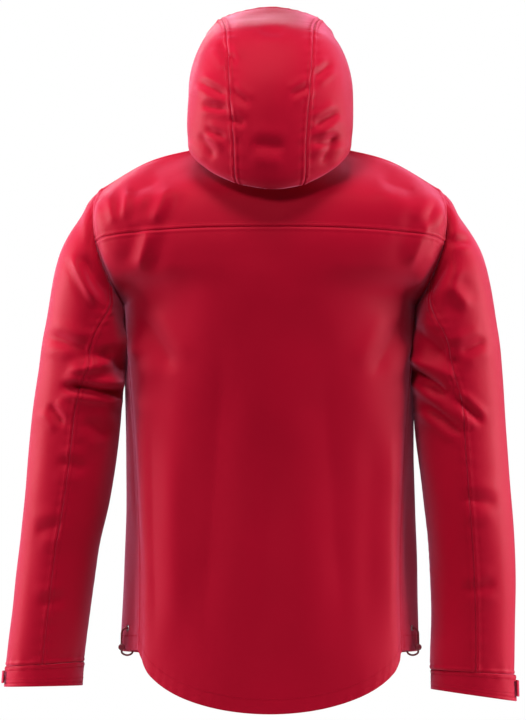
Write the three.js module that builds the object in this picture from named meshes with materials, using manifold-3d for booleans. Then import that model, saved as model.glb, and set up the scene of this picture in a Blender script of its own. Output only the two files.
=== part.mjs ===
// Hardshell jacket with a fixed hood, standing as if worn. Millimetres, +Z up, front towards -Y,
// wearer's left towards +X. Inside the jacket group Z = 0 is the lowest point of the back hem.
import * as THREE from "three";
import { mergeVertices } from "three/addons/utils/BufferGeometryUtils.js";
import Module from "manifold-3d";

const wasm = await Module();
wasm.setup();

// Driving dimensions.
const fabric = 1.2;
const layerGap = 0.35;
const facingGap = 1.1;
const hemDrop = 88;
const frontLength = { bottom: 78, neck: 742, chin: 826 };
const frontLean = { bottom: -128, chin: -110 };
const neck = { side: 88, sideZ: 788, backY: 74, backZ: 766 };
const shoulderTip = [238, 6, 727];
const zip = { slit: 0.7, coil: 2.6, coilDepth: 2.2, tape: 11.8, tapeDepth: 0.7, edge: 13 };
const slider = { length: 14, plate: 5.2, web: 0.4, thick: 1.3, front: 4.1, rear: 2.1, crown: 2.4 };
const puller = { width: 7.6, length: 38, thick: 1.3, hole: 7.4 };
const pocket = { from: 0.13, to: 0.275, lift: 2.2, slot: 8, bagDepth: 16, behind: 6 };
const cord = { diameter: 2.8 };
const lock = { x: 206.6, y: 3.6, z: 91, radius: 4.6, length: 16, wall: 1, cordAt: 8.4, press: 3 };

const jacket = new THREE.Group();
const colours = { shell: 0xa40b29, inner: 0x8d8f94, trim: 0x6f0a1c, dark: 0x1c1c1e, metal: 0x8a8c90 };

/** Adds one named mesh to a group. */
function add(name, geometry, colour, roughness = 0.6, metalness = 0, parent = jacket) {
  const material = new THREE.MeshStandardMaterial({ color: colour, roughness, metalness });
  const mesh = new THREE.Mesh(geometry, material);
  mesh.name = name;
  parent.add(mesh);
  return mesh;
}

/** Merges shared vertices, so that the geometry is one closed body. */
function closed(geometry) {
  geometry.deleteAttribute("normal");
  geometry.deleteAttribute("uv");
  return mergeVertices(geometry, 1e-4);
}

function vector(point) {
  return new THREE.Vector3(...point);
}

function curveThrough(points, loop = false) {
  return new THREE.CatmullRomCurve3(points, loop, "catmullrom", 0.5);
}

/** A surface through rows of points: u runs along a row, v from the first row to the last.
 * The surface may bend sharply at one row, the crease. */
function loft(rows, { loop = false, crease = 0 } = {}) {
  const rails = rows.map((row) => (row.getPoint ? row : curveThrough(row.map(vector), loop)));
  const share = crease / (rows.length - 1);
  const surface = (u, v) => {
    const upper = v > share || crease === 0;
    const used = upper ? rails.slice(crease) : rails.slice(0, crease + 1);
    const along = upper ? (v - share) / (1 - share) : v / share;
    return curveThrough(used.map((rail) => rail.getPoint(u))).getPoint(along);
  };
  surface.loop = loop;
  return surface;
}

/** The same surface on the wearer's other side, still facing out. */
function mirrored(surface) {
  const other = (u, v) => {
    const point = surface(1 - u, v);
    point.x *= -1;
    return point;
  };
  other.loop = surface.loop;
  return other;
}

/** The direction out of a surface. A surface that closes on itself takes any u. */
function outward(surface, u, v) {
  const step = 0.002;
  const [least, most] = surface.loop ? [-2, 2] : [0, 1];
  const across = surface(Math.min(u + step, most), v).sub(surface(Math.max(u - step, least), v));
  const along = surface(u, Math.min(v + step, 1)).sub(surface(u, Math.max(v - step, 0)));
  return across.cross(along).normalize();
}

const valueAt = (limit, v) => (typeof limit === "function" ? limit(v) : limit);

/** A fabric sheet: a box carried onto surface(u, v), its thickness laid to the inside. */
function sheet(surface, { across, along, u = [0, 1], v = [0, 1], thickness = fabric, lift = 0 }) {
  const geometry = new THREE.BoxGeometry(1, 1, 1, across, along, 1);
  const place = geometry.attributes.position;
  for (let i = 0; i < place.count; i += 1) {
    const up = THREE.MathUtils.lerp(v[0], v[1], place.getY(i) + 0.5);
    const side = THREE.MathUtils.lerp(valueAt(u[0], up), valueAt(u[1], up), place.getX(i) + 0.5);
    const depth = lift - thickness * (0.5 - place.getZ(i));
    const point = surface(side, up).addScaledVector(outward(surface, side, up), depth);
    place.setXYZ(i, point.x, point.y, point.z);
  }
  return closed(geometry);
}

/** A sheet that closes on itself around u: a ring section carried onto the surface. */
function band(surface, { around, along, v, thickness = fabric, lift = 0 }) {
  const profile = [];
  for (let i = 0; i <= along; i += 1) {
    profile.push(new THREE.Vector2(2, i / along));
  }
  for (let i = along; i >= 0; i -= 1) {
    profile.push(new THREE.Vector2(1, i / along));
  }
  profile.push(profile[0].clone());
  const geometry = new THREE.LatheGeometry(profile, around);
  const place = geometry.attributes.position;
  for (let i = 0; i < place.count; i += 1) {
    const turn = Math.atan2(place.getX(i), place.getZ(i)) / (2 * Math.PI);
    const side = Math.round(turn * around) / around;
    const up = THREE.MathUtils.lerp(v[0], v[1], place.getY(i));
    const depth = lift - thickness * (2 - Math.round(Math.hypot(place.getX(i), place.getZ(i))));
    const point = surface(side, up).addScaledVector(outward(surface, side, up), depth);
    place.setXYZ(i, point.x, point.y, point.z);
  }
  return closed(geometry);
}

/** A round tube along a curve, with flat ends. */
function tube(curve, diameter, steps, sides = 8) {
  const section = new THREE.Shape();
  section.absarc(0, 0, diameter / 2, 0, 2 * Math.PI);
  return closed(
    new THREE.ExtrudeGeometry(section, { extrudePath: curve, steps, curveSegments: sides / 2 }),
  );
}

/** A flat outline extruded along Z. */
function slab(points, depth, holes = []) {
  const outline = new THREE.Shape(points.map(([x, y]) => new THREE.Vector2(x, y)));
  holes.forEach((hole) => outline.holes.push(hole));
  return closed(
    new THREE.ExtrudeGeometry(outline, { depth, bevelEnabled: false, curveSegments: 10 }),
  );
}

/** A turned piece about Y, from a profile of [radius, height] points. */
function turned(profile, sides) {
  return closed(new THREE.LatheGeometry(profile.map(([r, y]) => new THREE.Vector2(r, y)), sides));
}

function toManifold(geometry) {
  return new wasm.Manifold(new wasm.Mesh({
    numProp: 3,
    vertProperties: Float32Array.from(geometry.attributes.position.array),
    triVerts: Uint32Array.from(geometry.index.array),
  }));
}

function cut(body, tool) {
  return fromManifold(toManifold(body).subtract(toManifold(tool)));
}

function fromManifold(solid) {
  const result = solid.getMesh();
  const geometry = new THREE.BufferGeometry();
  geometry.setAttribute("position", new THREE.BufferAttribute(result.vertProperties, 3));
  geometry.setIndex(new THREE.BufferAttribute(result.triVerts, 1));
  return geometry;
}

// The straight line of the front zip, and how far forward it is at each height.
function frontY(z) {
  const share = (z - frontLength.bottom) / (frontLength.chin - frontLength.bottom);
  return THREE.MathUtils.lerp(frontLean.bottom, frontLean.chin, share);
}

// Armhole points on the wearer's left, from the armpit up to the shoulder tip.
const armpit = [204, 0, 566];
const armholeBack = [armpit, [224, 42, 603], [243, 52, 655], [246, 36, 702], shoulderTip];
const armholeFront = [armpit, [212, -48, 600], [226, -62, 648], [236, -42, 700], shoulderTip];

// Side seam from the hem up to just below the armpit. It sits behind the widest point.
const sideSeam = [[184, 48, hemDrop], [183, 46, 220], [189, 32, 370], [198, 14, 490]];

// Centre back at the same stations.
const centreBack = [[120, 0], [118, 190], [113, 362], [122, 500], [130, 585], [131, 632],
  [127, 676], [110, 728], [neck.backY, neck.backZ]];

// The shoulder seam and the neckline, which the front and the back share.
const shoulderSeam = [[neck.side, 8, neck.sideZ], [166, 8, 768], shoulderTip];
const neckBack = [[neck.side, 8, neck.sideZ], [56, 54, 772], [0, neck.backY, neck.backZ],
  [-56, 54, 772], [-neck.side, 8, neck.sideZ]];
const neckFront = [[zip.edge, frontY(frontLength.neck), frontLength.neck], [62, -72, 756],
  [neck.side, 8, neck.sideZ]];

/** A row made of several curves end to end, each taking its share of u. */
function joinedRow(parts) {
  const curves = parts.map(([points, from, to]) => [curveThrough(points.map(vector)), from, to]);
  return {
    getPoint(u) {
      const [curve, from, to] = curves.find(([, , end]) => u <= end) ?? curves.at(-1);
      return curve.getPoint((u - from) / (to - from));
    },
  };
}

const mirrorPoint = ([x, y, z]) => [-x, y, z];
const backTopRow = joinedRow([
  [shoulderSeam.toReversed(), 0, 0.25],
  [neckBack, 0.25, 0.75],
  [shoulderSeam.map(mirrorPoint), 0.75, 1],
]);
const frontTopRow = joinedRow([[neckFront, 0, 0.5], [shoulderSeam, 0.5, 1]]);

/** One row of the back from the left edge to the right edge: a rounded arch in plan. */
function backRow([edgeX, edgeY, edgeZ], [middleY, middleZ]) {
  const row = [];
  for (let i = -4; i <= 4; i += 1) {
    const angle = (i / 4) * (Math.PI / 2);
    const arch = Math.cos(angle);
    const x = -edgeX * Math.sin(angle);
    row.push([x, edgeY + (middleY - edgeY) * arch ** 0.9, edgeZ + (middleZ - edgeZ) * arch]);
  }
  return row;
}

const backEdge = [...sideSeam, ...armholeBack];
const backRows = centreBack.slice(0, 8).map((middle, i) => backRow(backEdge[i], middle));
const armpitRow = 4;
const back = loft([...backRows, backTopRow], { crease: armpitRow });
const yokeSeam = 6 / 8;

/** One row of the left front from the zip to the side: widest point in front of the side seam. */
function frontRow(edge, z, widest, forward) {
  return [
    [zip.edge, frontY(z), z],
    [widest * 0.42, frontY(z) + 5, z],
    [widest * 0.76, forward, z + (edge[2] - z) * 0.35],
    [widest, edge[1] + (forward - edge[1]) * 0.52, z + (edge[2] - z) * 0.8],
    edge,
  ];
}

const frontEdge = [...sideSeam, ...armholeFront];
const front = loft([
  frontRow(frontEdge[0], frontLength.bottom, 206, -104),
  frontRow(frontEdge[1], 214, 203, -103),
  frontRow(frontEdge[2], 368, 196, -100),
  frontRow(frontEdge[3], 488, 196, -106),
  frontRow(frontEdge[4], 572, 202, -112),
  frontRow(frontEdge[5], 616, 205, -110),
  frontRow(frontEdge[6], 656, 210, -104),
  frontRow(frontEdge[7], 704, 214, -84),
  frontTopRow,
], { crease: armpitRow });

// Body shell. Rows of facets are one step apart on every panel, so that seams meet row to row.
const rowStep = 1 / 16;
const steps = (from, to) => Math.max(1, Math.round((to - from) / rowStep));

function panel(name, surface, across, u, v, extra = {}) {
  const geometry = sheet(surface, { across, along: steps(v[0], v[1]), u, v, ...extra });
  return add(name, geometry, extra.colour ?? colours.shell);
}

const topEdge = 0.996;
const armholeTrim = (v) => 0.006 * THREE.MathUtils.smoothstep(v, 0.49, 0.53);
const backStart = (v) => 0.0022 + armholeTrim(v);
const backEnd = (v) => 1 - backStart(v);
const frontEnd = (v) => 0.9965 - armholeTrim(v);
panel("back_panel", back, 16, [backStart, backEnd], [0, yokeSeam - 0.001]);
panel("back_yoke", back, 16, [backStart, backEnd], [yokeSeam + 0.001, topEdge]);

/** A group whose local -Y faces out of a surface, with local Z along it between two heights. */
function frameOn(surface, u, from, to, lift) {
  const base = surface(u, from);
  const up = surface(u, to).sub(base).normalize();
  const out = outward(surface, u, (from + to) / 2);
  const side = out.clone().negate().cross(up).normalize();
  const inward = up.clone().cross(side);
  const group = new THREE.Group();
  group.matrix.makeBasis(side, inward, up).setPosition(base.addScaledVector(inward, -lift));
  group.matrix.decompose(group.position, group.quaternion, group.scale);
  group.updateMatrix();
  jacket.add(group);
  return group;
}

const sides = [["left", (surface) => surface, 1], ["right", mirrored, -1]];

/** A box from its two corners. */
function block([x0, y0, z0], [x1, y1, z1]) {
  const box = new THREE.BoxGeometry(x1 - x0, y1 - y0, z1 - z0);
  box.translate((x0 + x1) / 2, (y0 + y1) / 2, (z0 + z1) / 2);
  return closed(box);
}

function join(first, ...others) {
  const whole = others.reduce((sum, other) => sum.add(toManifold(other)), toManifold(first));
  return fromManifold(whole);
}

/** A zip slider on a zip that runs along Z: two plates, a thin web, and an arch in front. */
function sliderBody() {
  const { length, plate, web, thick, front: ahead, rear, crown } = slider;
  const arch = (z0, z1, y0, y1) => block([-crown / 2, -y1, z0], [crown / 2, -y0, z1]);
  return join(
    block([-plate, -ahead, 0], [plate, thick - ahead, length]),
    block([-web, thick - ahead - 0.1, 0], [web, rear - thick + 0.1, length]),
    block([-plate, rear - thick, 0], [plate, rear, length]),
    arch(2.5, 4, ahead - 0.1, ahead + 3.6),
    arch(10, 11.5, ahead - 0.1, ahead + 3.6),
    arch(2.5, 11.5, ahead + 2.2, ahead + 3.6),
  );
}

const crownPin = { y: -(slider.front + 1.1), z: 9 };

/** A puller hanging from the pin point, its ring passing under the slider's arch. */
function pullerBody() {
  const { width, length, thick, hole } = puller;
  const half = width / 2;
  const outline = [[-half, 0.7], [half, 0.7], [half, -length + 2], [half - 2, -length],
    [2 - half, -length], [-half, -length + 2]];
  const opening = new THREE.Path([[-1.9, -0.7], [-1.9, -hole], [1.9, -hole], [1.9, -0.7]]
    .map(([x, z]) => new THREE.Vector2(x, z)));
  const plate = slab(outline, thick, [opening]);
  return plate.rotateX(Math.PI / 2).translate(0, thick / 2, 0);
}

/** Adds a slider and its puller at a height along the zip, in the zip's own group. */
function addSlider(name, parent, height) {
  const body = add(`${name}_slider`, sliderBody(), colours.dark, 0.45, 0.3, parent);
  body.position.z = height;
  const pull = add(`${name}_puller`, pullerBody(), colours.dark, 0.5, 0, parent);
  pull.position.set(0, crownPin.y, height + crownPin.z);
}

/** One side's pocket: zip tape and coil with a slot, slider, puller, and the bag behind. */
function addPocket(side, surface, group, length, slotTool, sign) {
  const { coil, slit, coilDepth, tapeDepth } = zip;
  const slotted = (half, depth, from, to, inset) => {
    const hole = new THREE.Path([[-slit, from + inset], [slit, from + inset], [slit, to - inset],
      [-slit, to - inset]].map(([x, y]) => new THREE.Vector2(x, y)));
    const plate = slab([[-half, from], [half, from], [half, to], [-half, to]], depth, [hole]);
    return plate.rotateX(Math.PI / 2);
  };
  add(`pocket_zip_tape_${side}`, slotted(11, tapeDepth, 0, length, 8).translate(0, tapeDepth, 0),
    colours.dark, 0.8, 0, group);
  add(`pocket_zip_coil_${side}`,
    slotted(slit + coil, coilDepth, 4, length - 4, 5).translate(0, -layerGap, 0),
    colours.dark, 0.6, 0, group);
  addSlider(`pocket_${side}`, group, length - 8 - slider.length - 2);
  const u = (a, b) => (sign > 0 ? [a, b] : [1 - b, 1 - a]);
  const bag = (inset, lift, thickness) => sheet(surface, {
    across: 6, along: 5, u: u(0.14 + inset, 0.58 - inset * 0.8),
    v: [pocket.from - 0.035 + inset / 3, pocket.to - 0.005 - inset / 3], lift, thickness,
  });
  const outer = bag(0, -pocket.behind, pocket.bagDepth);
  const inner = bag(0.006, -pocket.behind - 1.2, pocket.bagDepth - 2.4);
  add(`pocket_bag_${side}`, cut(cut(outer, inner), slotTool), colours.inner, 0.8);
}

const frontAcross = 8;
for (const [side, place, sign] of sides) {
  const surface = place(front);
  const u = sign > 0 ? [0, frontEnd] : [(v) => 1 - frontEnd(v), 1];
  const shell = sheet(surface, { across: frontAcross, along: 16, u, v: [0, topEdge] });
  const group = frameOn(surface, 0.5, pocket.from, pocket.to, pocket.lift);
  const length = surface(0.5, pocket.from).distanceTo(surface(0.5, pocket.to));
  const slot = new THREE.BoxGeometry(pocket.slot, 24, length - 18);
  slot.translate(0, 0, length / 2).applyMatrix4(group.matrix);
  const slotTool = closed(slot);
  add(`front_panel_${side}`, cut(shell, slotTool), colours.shell);
  addPocket(side, surface, group, length, slotTool, sign);
  const facing = { across: frontAcross, along: 1, v: [0.0004, 0.021], thickness: 0.8 };
  const trim = sign > 0 ? [0.012, 0.985] : [0.015, 0.988];
  add(`hem_facing_${side}`, sheet(surface, { ...facing, u: trim, lift: -fabric - facingGap }),
    colours.shell);
}
panel("hem_facing_back", back, 16, [0.012, 0.988], [0.0004, 0.017],
  { lift: -fabric - facingGap, thickness: 0.8 });

// Front zip: one group along the straight front line, with local -Y facing forward.
const zipLine = new THREE.Group();
const zipRise = frontLength.chin - frontLength.bottom;
const zipLength = Math.hypot(zipRise, frontLean.chin - frontLean.bottom);
zipLine.position.set(0, frontLean.bottom, frontLength.bottom);
zipLine.rotation.x = -Math.atan2(frontLean.chin - frontLean.bottom, zipRise);
jacket.add(zipLine);
for (const [side, , sign] of sides) {
  const strip = (x0, x1, y0, y1, z0, z1) => {
    const [left, right] = [sign * x0, sign * x1].sort((a, b) => a - b);
    return block([left, y0, z0], [right, y1, z1]);
  };
  const { slit, coil, coilDepth, tape, tapeDepth } = zip;
  const coilFront = -layerGap - coilDepth;
  add(`zip_tape_${side}`, strip(slit, tape, 0, tapeDepth, 12, zipLength - 1), colours.dark,
    0.8, 0, zipLine);
  add(`zip_coil_${side}`, strip(slit, slit + coil, coilFront, -layerGap, 12, zipLength - 12),
    colours.dark, 0.6, 0, zipLine);
  add(`zip_top_stop_${side}`,
    strip(slit, slit + coil, coilFront, -layerGap, zipLength - 11.6, zipLength - 8),
    colours.metal, 0.4, 0.8, zipLine);
}
add("zip_box", block([-5.4, -3.6, 0], [0.4, 1.4, 11.6]), colours.dark, 0.5, 0, zipLine);
add("zip_insertion_pin", block([0.8, -2.6, 0.5], [3.2, 0.6, 11.6]), colours.dark, 0.5, 0, zipLine);
addSlider("zip", zipLine, zipLength - 12 - slider.length - 2);
add("storm_flap", block([-12.4, 3.1, 6], [12.4, 4.1, zipLength - 40]), colours.inner, 0.8, 0,
  zipLine);
add("chin_guard", block([-12.4, 3.1, zipLength - 39.6], [12.4, 4.5, zipLength + 2]),
  colours.inner, 0.9, 0, zipLine);

// Collar inside the hood, open at the front.
const mirrorRow = (row) => [...row, ...row.slice(0, -1).toReversed().map(mirrorPoint)];
const collar = loft([
  mirrorRow([[14, -111.4, 746], [58, -71, 761], [83, 8, 792], [52, 50, 777], [0, 69, 771]]),
  mirrorRow([[14, frontY(826), 826], [58, -64, 834], [81, 9, 842], [51, 48, 832], [0, 65, 826]]),
]);
add("collar", sheet(collar, { across: 20, along: 2 }), colours.shell);

// Hanger loop: a strap arch sewn at the back of the neck, flat underneath.
const loop = { half: 28, top: 13, rise: 14, thick: 1.6, width: 8 };
const hanger = slab([
  [-loop.half, 0], [-loop.half + 2.4, 0], [-loop.top, loop.rise - loop.thick],
  [loop.top, loop.rise - loop.thick], [loop.half - 2.4, 0], [loop.half, 0],
  [loop.top + 1, loop.rise], [-loop.top - 1, loop.rise],
], loop.width);
hanger.rotateX(Math.PI / 2);
const hangerBase = { y: 60, z: 774 };
add("hanger_loop", hanger, colours.dark, 0.7).position.set(0, hangerBase.y, hangerBase.z);

// Hood: rows from the neck seam over the back of the head to the face edge, foot to crown.
const hood = loft([
  [[60, 57, 776], [46, 66, 772], [32, 73, 770], [16, 78, 769], [0, 80, 768]],
  [[84, 34, 789], [104, 72, 776], [84, 112, 753], [46, 134, 735], [0, 142, 728]],
  [[90, 10, 793], [114, 68, 804], [97, 120, 802], [51, 148, 800], [0, 154, 800]],
  [[92, -14, 790], [114, 40, 852], [101, 102, 868], [57, 134, 882], [0, 144, 886]],
  [[86, -40, 782], [112, 8, 868], [99, 60, 916], [60, 84, 943], [0, 92, 948]],
  [[74, -64, 772], [106, -30, 866], [99, -8, 926], [64, 0, 961], [0, 4, 968]],
  [[56, -86, 764], [98, -72, 852], [96, -72, 920], [69, -74, 966], [0, -76, 982]],
  [[38, -102, 758], [86, -102, 838], [89, -116, 910], [65, -128, 962], [0, -136, 984]],
].map(mirrorRow));
const hoodSeam = { side: 0.375, brim: 6 / 7 };
const hoodGap = 0.002;
const hoodRows = 14;
add("hood_side_left", sheet(hood, { across: 6, along: hoodRows,
  u: [0, hoodSeam.side - hoodGap], v: [0, hoodSeam.brim - hoodGap] }), colours.shell);
add("hood_centre", sheet(hood, { across: 4, along: hoodRows,
  u: [hoodSeam.side, 1 - hoodSeam.side], v: [0, hoodSeam.brim - hoodGap] }), colours.shell);
add("hood_side_right", sheet(hood, { across: 6, along: hoodRows,
  u: [1 - hoodSeam.side + hoodGap, 1], v: [0, hoodSeam.brim - hoodGap] }), colours.shell);
add("hood_brim", sheet(hood, { across: 16, along: 3, v: [hoodSeam.brim, 1] }), colours.shell);

// Sleeves: rings from the cuff edge up to the armhole, each from its outer and inner point.
const armholeRing = [shoulderTip, ...armholeBack.slice(1, 4).toReversed(), ...armholeFront.slice(0, 4)];

function sleeveRing([outer, inner, y, depth]) {
  const ring = [];
  for (let i = 0; i < 8; i += 1) {
    const angle = (i / 8) * 2 * Math.PI;
    const share = (1 + Math.cos(angle)) / 2;
    const x = THREE.MathUtils.lerp(inner[0], outer[0], share);
    const z = THREE.MathUtils.lerp(inner[1], outer[1], share);
    ring.push([x, y + depth * Math.sin(angle), z]);
  }
  return ring;
}

const leftRings = [
  [[371, 36], [261, 38], -38, 48], [[369, 64], [259, 70], -36, 48],
  [[360, 138], [253, 130], -28, 50], [[351, 225], [241, 215], -20, 54],
  [[341, 308], [223, 300], -12, 58], [[331, 390], [213, 382], -8, 60],
  [[321, 470], [211, 455], -4, 62], [[313, 535], [210, 512], -2, 64],
  [[291, 640], [215, 544], 0, 66],
];
const rightRings = [
  [[344, 16], [224, 33], -30, 48], [[343, 52], [224, 60], -28, 48],
  [[341, 130], [226, 128], -22, 50], [[339, 220], [221, 215], -16, 54],
  [[335, 300], [213, 298], -11, 58], [[330, 385], [206, 380], -8, 60],
  [[324, 470], [206, 458], -4, 62], [[317, 535], [207, 512], -2, 64],
  [[295, 640], [214, 544], 0, 66],
];
const sleeveSurface = (rings) => loft([...rings.map(sleeveRing), armholeRing], { loop: true });
const cuffTop = 1 / 9;
const sleeveTop = 0.99;
const underSeam = 0.54;
const cuffStep = 0.02;
const backSeam = (v) => 0.24 + 0.05 * THREE.MathUtils.smoothstep(v, 0.58, 0.74)
  + 0.08 * THREE.MathUtils.smoothstep(v, 0.74, 0.95);

for (const [side, place, sign] of sides) {
  const surface = place(sleeveSurface(sign > 0 ? leftRings : rightRings));
  const around = (a, b) => {
    const flip = (limit) => (v) => 1 - valueAt(limit, v);
    return sign > 0 ? [a, b] : [flip(b), flip(a)];
  };
  const along = 16;
  const v = [cuffTop + 0.0008, sleeveTop];
  const before = (v) => backSeam(v) - 0.0015;
  add(`sleeve_outer_${side}`, sheet(surface, { across: 12, along, v,
    u: around(underSeam - 1 + 0.0015, before) }), colours.shell);
  add(`sleeve_under_${side}`, sheet(surface, { across: 5, along, v,
    u: around(backSeam, underSeam - 0.0015) }), colours.shell);
  add(`cuff_${side}`, band(surface, { around: 20, along: 1, v: [0, cuffTop - 0.0008] }),
    colours.shell);
  const strip = (name, from, to, lift, thickness, colour, v0 = 0.018, v1 = 0.094) => {
    const across = Math.round((to - from) / cuffStep);
    add(name, sheet(surface, { across, along: 1, u: around(from, to), v: [v0, v1], lift,
      thickness }), colour);
  };
  strip(`cuff_loop_patch_${side}`, -0.3, -0.06, layerGap + 0.8, 0.8, colours.dark);
  strip(`cuff_hook_patch_${side}`, -0.24, -0.12, 2 * layerGap + 1.6, 0.8, colours.dark, 0.03, 0.082);
  strip(`cuff_tab_${side}`, -0.26, 0.04, 3 * layerGap + 3, 1.4, colours.shell);
}

// Hem cord locks: a barrel, a sprung plunger, and the elastic cord that both pinch.
function holeAlongZ(radius, length) {
  return closed(new THREE.CylinderGeometry(radius, radius, length, 12).rotateX(Math.PI / 2));
}

function lockBarrel() {
  const { radius, length, wall, cordAt } = lock;
  const bore = radius - wall;
  const cup = turned([[0, 0], [radius, 0], [radius, length], [bore, length], [bore, wall],
    [0, wall]], 16);
  return cut(cup, holeAlongZ(cord.diameter / 2 + 0.5, 12).translate(0, cordAt, 0));
}

function lockPlunger() {
  const { radius, length, wall, cordAt, press } = lock;
  const stem = radius - wall - 0.4;
  const end = wall + press + 1.4;
  const top = length + press + 0.3;
  const body = turned([[0, end], [stem, end], [stem, top], [radius - 0.2, top],
    [radius - 0.2, top + 1], [radius - 1, top + 1.8], [0, top + 1.8]], 16);
  const room = cord.diameter / 2 + 0.3;
  const slot = block([-room, cordAt - room, -9], [room, cordAt + press + room, 9]);
  return cut(body, slot);
}

class Helix extends THREE.Curve {
  constructor(radius, from, to, turns) {
    super();
    Object.assign(this, { radius, from, to, turns });
  }

  getPoint(t) {
    const angle = t * this.turns * 2 * Math.PI;
    const y = THREE.MathUtils.lerp(this.from, this.to, t);
    return new THREE.Vector3(this.radius * Math.cos(angle), y, this.radius * Math.sin(angle));
  }
}

const cordRoute = [[198.8, 12.2, 117.4], [202, 13.3, 117], [205.8, 12.6, 113], [206.6, 12, 106],
  [206.6, 12, 88], [205.4, 12, 82.4], [199, 12, 79.8], [192.6, 12, 82], [190.4, 12, 88],
  [190.4, 12, 96]];
const eyelet = { u: 0.887, from: 0.029, to: 0.06, outer: 4.4, hole: 2, depth: 1.2 };

for (const [side, place, sign] of sides) {
  const group = new THREE.Group();
  group.position.set(sign * lock.x, lock.y, lock.z);
  jacket.add(group);
  add(`cord_lock_barrel_${side}`, lockBarrel(), colours.dark, 0.5, 0, group);
  add(`cord_lock_plunger_${side}`, lockPlunger(), colours.trim, 0.5, 0, group);
  const coilEnds = [lock.wall + 0.7, lock.wall + lock.press + 1];
  add(`cord_lock_spring_${side}`, tube(new Helix(2.2, ...coilEnds, 4), 0.6, 40, 6),
    colours.metal, 0.3, 0.9, group);
  const route = curveThrough(cordRoute.map(([x, y, z]) => new THREE.Vector3(sign * x, y, z)));
  add(`hem_cord_${side}`, tube(route, cord.diameter, 24), colours.trim, 0.7);
  const ring = turned([[eyelet.hole, 0], [eyelet.outer, 0], [eyelet.outer, eyelet.depth],
    [eyelet.hole, eyelet.depth], [eyelet.hole, 0]], 16);
  const seat = frameOn(place(front), sign > 0 ? eyelet.u : 1 - eyelet.u, eyelet.from, eyelet.to,
    layerGap + eyelet.depth);
  add(`hem_eyelet_${side}`, ring, colours.metal, 0.35, 0.8, seat);
}

// The origin of the whole part is the flat underside of the hanger loop.
jacket.position.set(0, loop.width / 2 - hangerBase.y, -(hangerBase.z + loop.rise - loop.thick));

export default jacket;
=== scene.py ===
# Hardshell jacket, standing as if worn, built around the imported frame. Shapes are worked out in garment
# millimetres (Z = 0 at the back hem, front towards -Y, wearer's left towards +X) and laid down in metres.
import math
import bmesh
import bpy
import numpy as np
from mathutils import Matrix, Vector


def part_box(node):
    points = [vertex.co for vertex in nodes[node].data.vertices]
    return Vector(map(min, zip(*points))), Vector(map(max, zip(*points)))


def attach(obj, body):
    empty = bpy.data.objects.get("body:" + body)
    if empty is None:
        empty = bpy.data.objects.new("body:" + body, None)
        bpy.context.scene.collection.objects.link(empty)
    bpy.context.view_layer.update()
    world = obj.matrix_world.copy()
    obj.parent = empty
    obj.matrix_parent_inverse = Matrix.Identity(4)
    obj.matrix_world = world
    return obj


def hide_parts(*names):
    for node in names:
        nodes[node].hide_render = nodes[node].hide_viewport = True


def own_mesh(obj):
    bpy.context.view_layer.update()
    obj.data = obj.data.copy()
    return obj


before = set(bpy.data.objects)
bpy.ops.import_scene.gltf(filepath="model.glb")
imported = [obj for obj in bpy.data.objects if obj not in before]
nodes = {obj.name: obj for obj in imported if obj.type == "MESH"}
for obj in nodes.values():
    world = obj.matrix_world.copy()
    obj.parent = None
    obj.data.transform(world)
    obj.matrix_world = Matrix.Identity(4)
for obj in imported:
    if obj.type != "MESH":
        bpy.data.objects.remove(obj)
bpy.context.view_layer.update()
shellBody = "jacket_shell"
hangPoint = np.array([0.0, 56.0, 786.4])  # the hanger loop's underside, in garment millimetres
turn = 2 * math.pi


def toFrame(points):
    # Garment millimetres, less the hang point, in metres.
    return (np.asarray(points, float) - hangPoint) / 1000


def bell(distance, width):
    return np.exp(-(distance / width) ** 2)


def ease(value, low, high):
    # 0 below low, 1 above high, and 3t^2 - 2t^3 between.
    t = np.clip((value - low) / (high - low), 0, 1)
    return t * t * (3 - 2 * t)


# The camera stands behind the jacket; height is what the picture takes in, top to bottom, in metres.
camera = {"distance": 30.0, "height": 1.001, "x": 0.0097, "z": -0.2957, "sensor": 36}
lens = bpy.data.cameras.new("camera")
lens.lens = camera["sensor"] * camera["distance"] / camera["height"]
eye = bpy.data.objects.new("camera", lens)
eye.location = (camera["x"], camera["distance"], camera["z"])
eye.rotation_euler = (math.pi / 2, 0, math.pi)
bpy.context.collection.objects.link(eye)
bpy.context.scene.camera = eye
bpy.context.scene.view_settings.view_transform = "Standard"


def spline(points, t, loop=False):
    # Uniform Catmull-Rom: each of the four nearest points has a cubic share of the place between the
    # middle two. Past an open end the row goes on straight. Points are (n, 3), or (n, places, 3).
    points = np.asarray(points, float)
    t = np.asarray(t, float)
    count = len(points)
    place = t * (count if loop else count - 1)
    base = np.floor(place).astype(int)
    if not loop:
        base = np.clip(base, 0, count - 2)
    f = (place - base)[..., None]
    shares = (-0.5 * f + f ** 2 - 0.5 * f ** 3, 1 - 2.5 * f ** 2 + 1.5 * f ** 3,
              0.5 * f + 2 * f ** 2 - 1.5 * f ** 3, -0.5 * f ** 2 + 0.5 * f ** 3)
    if loop:
        return sum(share * points[(base + j - 1) % count] for j, share in enumerate(shares))
    longer = np.concatenate([2 * points[:1] - points[1:2], points, 2 * points[-1:] - points[-2:-1]])
    column = (np.arange(points.shape[1]),) if points.ndim == 3 else ()
    return sum(share * longer[(base + j,) + column] for j, share in enumerate(shares))


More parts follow.
